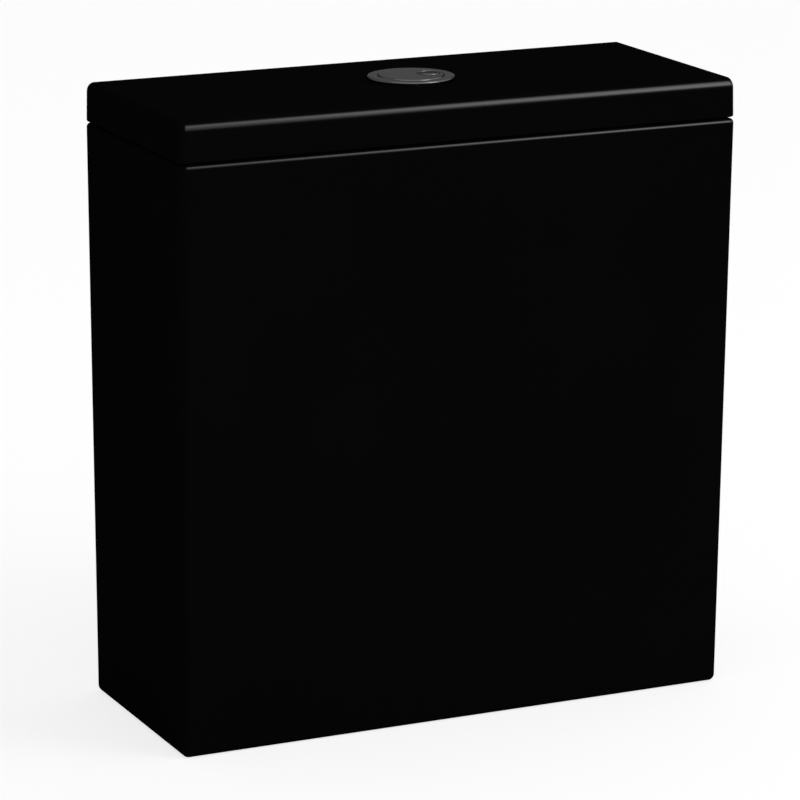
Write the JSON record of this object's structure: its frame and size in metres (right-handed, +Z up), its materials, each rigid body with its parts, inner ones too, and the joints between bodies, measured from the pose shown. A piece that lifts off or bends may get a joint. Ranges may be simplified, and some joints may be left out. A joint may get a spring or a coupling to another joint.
{
  "type": "toilet cistern",
  "caption": "Rectangular ceramic close-coupled toilet cistern with a lift-off lid, dual-flush push button, flush valve and float-operated fill valve inside.",
  "frame": {"origin": "middle of the rim that the tank stands on, under the lid's middle", "axes": "+Z up, front towards -Y, +X to the right as seen from the front"},
  "size_m": [0.3906, 0.168, 0.4184],
  "materials": {
    "ceramic": "satin matt black glaze",
    "dark_chrome": "dark satin plating",
    "white_plastic": "moulded",
    "blue_plastic": "moulded",
    "green_plastic": "moulded",
    "red_plastic": "moulded",
    "rubber": "matt",
    "silicone": "matt",
    "steel": "bright",
    "brass": "turned"
  },
  "bodies": {
    "tank": {"tank": "ceramic", "lid_buffers": "rubber", "lever_pin": "steel", "lever_pin_clip": "steel", "lever_spacers": "white_plastic", "lever_bridge": "white_plastic", "bridge_lock_pins": "red_plastic", "valve_basket": "white_plastic", "valve_base": "white_plastic", "valve_base_seal": "rubber", "valve_back_nut": "white_plastic", "coupling_gasket": "rubber", "coupling_bolts": "brass", "bolt_cone_washers": "rubber", "bolt_head_washers": "steel", "bolt_under_washers": "steel", "bolt_lock_nuts": "brass", "inlet_shank": "brass", "inlet_seal": "rubber", "inlet_washer": "white_plastic", "inlet_back_nut": "white_plastic", "inlet_filter": "white_plastic", "riser_pipe": "white_plastic", "riser_collar": "blue_plastic", "fill_head": "white_plastic", "fill_diaphragm": "rubber", "fill_cap": "blue_plastic", "discharge_tube": "white_plastic", "fill_lever_pin": "steel"},
    "lid": {"lid": "ceramic", "button_bezel": "dark_chrome", "bezel_washer": "rubber", "bezel_nut": "white_plastic", "button_guide": "white_plastic", "full_button_spring": "steel", "half_button_spring": "steel"},
    "full_button": {"full_flush_button": "dark_chrome", "full_push_rod": "white_plastic", "full_rod_tip": "blue_plastic"},
    "half_button": {"half_flush_button": "dark_chrome", "half_push_rod": "white_plastic", "half_rod_tip": "green_plastic"},
    "full_lever": {"full_lever": "blue_plastic"},
    "half_lever": {"half_lever": "green_plastic"},
    "half_lift": {"half_lift_hook": "green_plastic"},
    "plunger": {"overflow_tube": "white_plastic", "plunger_seal": "silicone", "plunger_disc": "white_plastic", "flush_float": "blue_plastic", "full_lift_hook": "blue_plastic"},
    "float": {"fill_float": "white_plastic", "float_rod": "white_plastic", "level_nut": "blue_plastic"},
    "fill_lever": {"fill_lever": "blue_plastic"}
  },
  "joints": [
    {"name": "lid_lift", "type": "slide", "parent": "tank", "child": "lid", "axis": [0, 0, 1], "range_m": [0, 0.2]},
    {"name": "full_press", "type": "slide", "parent": "lid", "child": "full_button", "axis": [0, 0, -1], "range_m": [0, 0.007], "stiffness_N_per_m": 250, "springref_m": -0.008, "deforming": ["full_button_spring"]},
    {"name": "half_press", "type": "slide", "parent": "lid", "child": "half_button", "axis": [0, 0, -1], "range_m": [0, 0.006], "stiffness_N_per_m": 250, "springref_m": -0.008, "deforming": ["half_button_spring"]},
    {"name": "full_lever_swing", "type": "hinge", "parent": "tank", "child": "full_lever", "pos_m": [0, -0.009, 0.322], "axis": [0, -1, 0], "range_deg": [0, 27.7]},
    {"name": "half_lever_swing", "type": "hinge", "parent": "tank", "child": "half_lever", "pos_m": [0, 0.009, 0.322], "axis": [0, 1, 0], "range_deg": [0, 23.75]},
    {"name": "half_rise", "type": "slide", "parent": "tank", "child": "half_lift", "axis": [0, 0, 1], "range_m": [0, 0.00911]},
    {"name": "plunger_rise", "type": "slide", "parent": "half_lift", "child": "plunger", "axis": [0, 0, 1], "range_m": [0, 0.01352]},
    {"name": "float_rise", "type": "slide", "parent": "tank", "child": "float", "axis": [0, 0, 1], "range_m": [0, 0.012]},
    {"name": "fill_lever_swing", "type": "hinge", "parent": "tank", "child": "fill_lever", "pos_m": [-0.14, 0.02, 0.336], "axis": [0, -1, 0], "range_deg": [0, 18.1]}
  ],
  "couplings": [
    {"joint": "full_lever_swing", "follows": "full_press", "rad_per_m": 68.966},
    {"joint": "plunger_rise", "follows": "full_press", "ratio": 1.931},
    {"joint": "half_lever_swing", "follows": "half_press", "rad_per_m": 68.966},
    {"joint": "half_rise", "follows": "half_press", "ratio": 1.5172},
    {"joint": "fill_lever_swing", "follows": "float_rise", "rad_per_m": 26.316}
  ]
}
